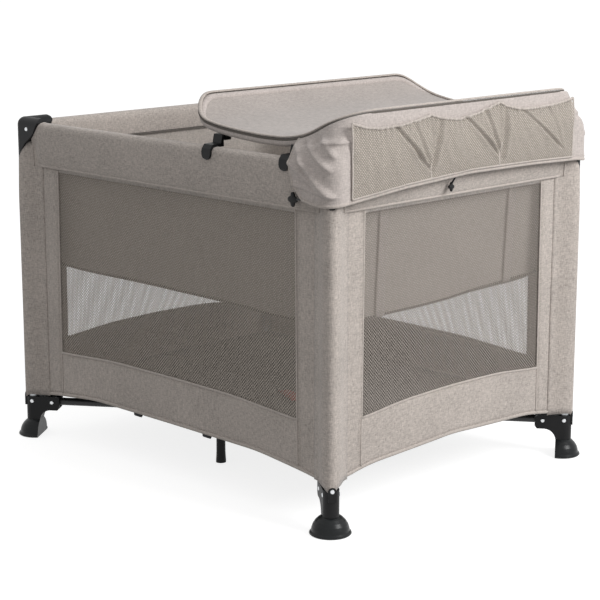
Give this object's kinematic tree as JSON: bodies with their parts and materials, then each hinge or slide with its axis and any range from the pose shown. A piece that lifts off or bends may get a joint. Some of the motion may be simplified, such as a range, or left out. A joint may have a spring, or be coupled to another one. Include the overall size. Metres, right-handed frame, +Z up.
{
  "type": "folding playpen",
  "caption": "Folding fabric playpen with mesh sides, hinged top rails, rising centre hub, hanging bassinet with mattress and a hooked-on padded changer with pockets.",
  "frame": {"origin": "on the floor under the middle of the four corner posts", "axes": "+Z up, X along the long sides with the changer at +X, Y across"},
  "size_m": [1.064, 0.842, 0.8432],
  "materials": {
    "black_moulding": "fine grain",
    "black_gloss": "satin gloss",
    "steel_tube": "plain drawn tube",
    "black_tube": "powder coat",
    "rivet_steel": "polished",
    "button_red": "fine grain",
    "taupe_fabric": "woven polyester",
    "grey_mesh": "open knitted mesh",
    "dark_fabric": "woven polyester",
    "pad_fabric": "soft brushed polyester"
  },
  "bodies": {
    "post_front_left": {"post_tube_front_left": "steel_tube", "foot_bracket_front_left": "black_moulding", "foot_front_left": "black_gloss", "corner_housing_front_left": "black_moulding", "corner_rivets_front_left": "rivet_steel", "wall_front": "taupe_fabric", "mesh_front": "grey_mesh"},
    "post_front_right": {"post_tube_front_right": "steel_tube", "foot_bracket_front_right": "black_moulding", "foot_front_right": "black_gloss", "corner_housing_front_right": "black_moulding", "corner_rivets_front_right": "rivet_steel", "wall_right": "taupe_fabric", "mesh_right": "grey_mesh"},
    "post_back_right": {"post_tube_back_right": "steel_tube", "foot_bracket_back_right": "black_moulding", "foot_back_right": "black_gloss", "corner_housing_back_right": "black_moulding", "corner_rivets_back_right": "rivet_steel", "wall_back": "taupe_fabric", "mesh_back": "grey_mesh"},
    "post_back_left": {"post_tube_back_left": "steel_tube", "foot_bracket_back_left": "black_moulding", "foot_back_left": "black_gloss", "corner_housing_back_left": "black_moulding", "corner_rivets_back_left": "rivet_steel", "wall_left": "taupe_fabric", "mesh_left": "grey_mesh"},
    "base_tube_front_left": {"base_tube_front_left": "black_tube"},
    "long_rail_front_left": {"long_rail_front_left": "steel_tube"},
    "short_rail_front_left": {"short_rail_front_left": "steel_tube"},
    "base_tube_front_right": {"base_tube_front_right": "black_tube"},
    "long_rail_front_right": {"long_rail_front_right": "steel_tube"},
    "short_rail_front_right": {"short_rail_front_right": "steel_tube"},
    "base_tube_back_right": {"base_tube_back_right": "black_tube"},
    "long_rail_back_right": {"long_rail_back_right": "steel_tube"},
    "short_rail_back_right": {"short_rail_back_right": "steel_tube"},
    "base_tube_back_left": {"base_tube_back_left": "black_tube"},
    "long_rail_back_left": {"long_rail_back_left": "steel_tube"},
    "short_rail_back_left": {"short_rail_back_left": "steel_tube"},
    "latch_front": {"latch_front": "black_moulding"},
    "latch_button_front": {"latch_button_front": "button_red"},
    "latch_right": {"latch_right": "black_moulding"},
    "latch_button_right": {"latch_button_right": "button_red"},
    "latch_back": {"latch_back": "black_moulding"},
    "latch_button_back": {"latch_button_back": "button_red"},
    "latch_left": {"latch_left": "black_moulding"},
    "latch_button_left": {"latch_button_left": "button_red"},
    "hub": {"hub": "black_moulding", "hub_pins": "rivet_steel", "pen_floor": "dark_fabric"},
    "centre_leg_front": {"centre_leg_front": "black_moulding"},
    "centre_leg_back": {"centre_leg_back": "black_moulding"},
    "bassinet": {"bassinet": "taupe_fabric"},
    "mattress": {"mattress": "pad_fabric"},
    "changer": {"changer_frame": "black_tube", "changer_tray": "pad_fabric", "changer_skirt": "taupe_fabric", "changer_pockets": "grey_mesh", "changer_hooks": "black_moulding"}
  },
  "joints": [
    {"name": "fold", "type": "hinge", "parent": "post_back_left", "child": "base_tube_back_left", "pos_m": [-0.45428, 0.35263, 0.081], "axis": [-0.591, -0.8066, 0], "range_deg": [0, 90], "deforming": ["wall_front", "wall_right", "wall_back", "wall_left", "mesh_front", "mesh_right", "mesh_back", "mesh_left", "pen_floor"]},
    {"name": "hub_on_back_left", "type": "hinge", "parent": "base_tube_back_left", "child": "hub", "pos_m": [-0.03528, 0.04563, 0.081], "axis": [-0.591, -0.8066, 0], "range_deg": [-90, 0]},
    {"name": "base_tube_front_left", "type": "hinge", "parent": "hub", "child": "base_tube_front_left", "pos_m": [-0.03528, -0.04563, 0.081], "axis": [0.591, -0.8066, 0], "range_deg": [0, 90]},
    {"name": "post_front_left", "type": "hinge", "parent": "base_tube_front_left", "child": "post_front_left", "pos_m": [-0.45428, -0.35263, 0.081], "axis": [0.591, -0.8066, 0], "range_deg": [-90, 0]},
    {"name": "base_tube_front_right", "type": "hinge", "parent": "hub", "child": "base_tube_front_right", "pos_m": [0.03528, -0.04563, 0.081], "axis": [0.591, 0.8066, 0], "range_deg": [0, 90]},
    {"name": "post_front_right", "type": "hinge", "parent": "base_tube_front_right", "child": "post_front_right", "pos_m": [0.45428, -0.35263, 0.081], "axis": [0.591, 0.8066, 0], "range_deg": [-90, 0]},
    {"name": "base_tube_back_right", "type": "hinge", "parent": "hub", "child": "base_tube_back_right", "pos_m": [0.03528, 0.04563, 0.081], "axis": [-0.591, 0.8066, 0], "range_deg": [0, 90]},
    {"name": "post_back_right", "type": "hinge", "parent": "base_tube_back_right", "child": "post_back_right", "pos_m": [0.45428, 0.35263, 0.081], "axis": [-0.591, 0.8066, 0], "range_deg": [-90, 0]},
    {"name": "long_rail_front_left", "type": "hinge", "parent": "post_front_left", "child": "long_rail_front_left", "pos_m": [-0.466, -0.377, 0.73], "axis": [0, 1, 0], "range_deg": [0, 90]},
    {"name": "short_rail_front_left", "type": "hinge", "parent": "post_front_left", "child": "short_rail_front_left", "pos_m": [-0.489, -0.354, 0.73], "axis": [-1, 0, 0], "range_deg": [0, 90]},
    {"name": "long_rail_front_right", "type": "hinge", "parent": "post_front_right", "child": "long_rail_front_right", "pos_m": [0.466, -0.377, 0.73], "axis": [0, -1, 0], "range_deg": [0, 90]},
    {"name": "short_rail_front_right", "type": "hinge", "parent": "post_front_right", "child": "short_rail_front_right", "pos_m": [0.489, -0.354, 0.73], "axis": [-1, 0, 0], "range_deg": [0, 90]},
    {"name": "long_rail_back_right", "type": "hinge", "parent": "post_back_right", "child": "long_rail_back_right", "pos_m": [0.466, 0.377, 0.73], "axis": [0, -1, 0], "range_deg": [0, 90]},
    {"name": "short_rail_back_right", "type": "hinge", "parent": "post_back_right", "child": "short_rail_back_right", "pos_m": [0.489, 0.354, 0.73], "axis": [1, 0, 0], "range_deg": [0, 90]},
    {"name": "long_rail_back_left", "type": "hinge", "parent": "post_back_left", "child": "long_rail_back_left", "pos_m": [-0.466, 0.377, 0.73], "axis": [0, 1, 0], "range_deg": [0, 90]},
    {"name": "short_rail_back_left", "type": "hinge", "parent": "post_back_left", "child": "short_rail_back_left", "pos_m": [-0.489, 0.354, 0.73], "axis": [1, 0, 0], "range_deg": [0, 90]},
    {"name": "latch_front", "type": "hinge", "parent": "long_rail_front_left", "child": "latch_front", "pos_m": [-0.047, -0.377, 0.73], "axis": [0, 1, 0], "range_deg": [-90, 0]},
    {"name": "latch_right", "type": "hinge", "parent": "short_rail_front_right", "child": "latch_right", "pos_m": [0.489, -0.047, 0.73], "axis": [-1, 0, 0], "range_deg": [-90, 0]},
    {"name": "latch_back", "type": "hinge", "parent": "long_rail_back_right", "child": "latch_back", "pos_m": [0.047, 0.377, 0.73], "axis": [0, -1, 0], "range_deg": [-90, 0]},
    {"name": "latch_left", "type": "hinge", "parent": "short_rail_back_left", "child": "latch_left", "pos_m": [-0.489, 0.047, 0.73], "axis": [1, 0, 0], "range_deg": [-90, 0]},
    {"name": "latch_button_front", "type": "slide", "parent": "latch_front", "child": "latch_button_front", "axis": [0, 0, 1], "range_m": [0, 0.004], "stiffness_N_per_m": 400, "springref_m": -0.004},
    {"name": "latch_button_right", "type": "slide", "parent": "latch_right", "child": "latch_button_right", "axis": [0, 0, 1], "range_m": [0, 0.004], "stiffness_N_per_m": 400, "springref_m": -0.004},
    {"name": "latch_button_back", "type": "slide", "parent": "latch_back", "child": "latch_button_back", "axis": [0, 0, 1], "range_m": [0, 0.004], "stiffness_N_per_m": 400, "springref_m": -0.004},
    {"name": "latch_button_left", "type": "slide", "parent": "latch_left", "child": "latch_button_left", "axis": [0, 0, 1], "range_m": [0, 0.004], "stiffness_N_per_m": 400, "springref_m": -0.004},
    {"name": "centre_leg_front", "type": "hinge", "parent": "hub", "child": "centre_leg_front", "pos_m": [-0.013, -0.04, 0.081], "axis": [1, 0, 0], "range_deg": [0, 90]},
    {"name": "centre_leg_back", "type": "hinge", "parent": "hub", "child": "centre_leg_back", "pos_m": [0.013, 0.04, 0.081], "axis": [-1, 0, 0], "range_deg": [0, 90]},
    {"name": "bassinet_lift", "type": "slide", "parent": "hub", "child": "bassinet", "axis": [0, 0, 1], "range_m": [0, 0.55]},
    {"name": "mattress_lift", "type": "slide", "parent": "bassinet", "child": "mattress", "axis": [0, 0, 1], "range_m": [0, 0.25]},
    {"name": "changer_lift", "type": "slide", "parent": "bassinet", "child": "changer", "axis": [0, 0, 1], "range_m": [0, 0.2]}
  ],
  "couplings": [
    {"joint": "hub_on_back_left", "follows": "fold", "ratio": -1},
    {"joint": "base_tube_front_left", "follows": "fold", "ratio": 1},
    {"joint": "post_front_left", "follows": "fold", "ratio": -1},
    {"joint": "base_tube_front_right", "follows": "fold", "ratio": 1},
    {"joint": "post_front_right", "follows": "fold", "ratio": -1},
    {"joint": "base_tube_back_right", "follows": "fold", "ratio": 1},
    {"joint": "post_back_right", "follows": "fold", "ratio": -1},
    {"joint": "long_rail_front_left", "follows": "fold", "ratio": 1},
    {"joint": "short_rail_front_left", "follows": "fold", "ratio": 1},
    {"joint": "long_rail_front_right", "follows": "fold", "ratio": 1},
    {"joint": "short_rail_front_right", "follows": "fold", "ratio": 1},
    {"joint": "long_rail_back_right", "follows": "fold", "ratio": 1},
    {"joint": "short_rail_back_right", "follows": "fold", "ratio": 1},
    {"joint": "long_rail_back_left", "follows": "fold", "ratio": 1},
    {"joint": "short_rail_back_left", "follows": "fold", "ratio": 1},
    {"joint": "latch_front", "follows": "fold", "ratio": -1},
    {"joint": "latch_right", "follows": "fold", "ratio": -1},
    {"joint": "latch_back", "follows": "fold", "ratio": -1},
    {"joint": "latch_left", "follows": "fold", "ratio": -1},
    {"joint": "centre_leg_front", "follows": "fold", "ratio": 1},
    {"joint": "centre_leg_back", "follows": "fold", "ratio": 1},
    {"joint": "bassinet_lift", "follows": "fold", "m_per_rad": 0.35}
  ]
}
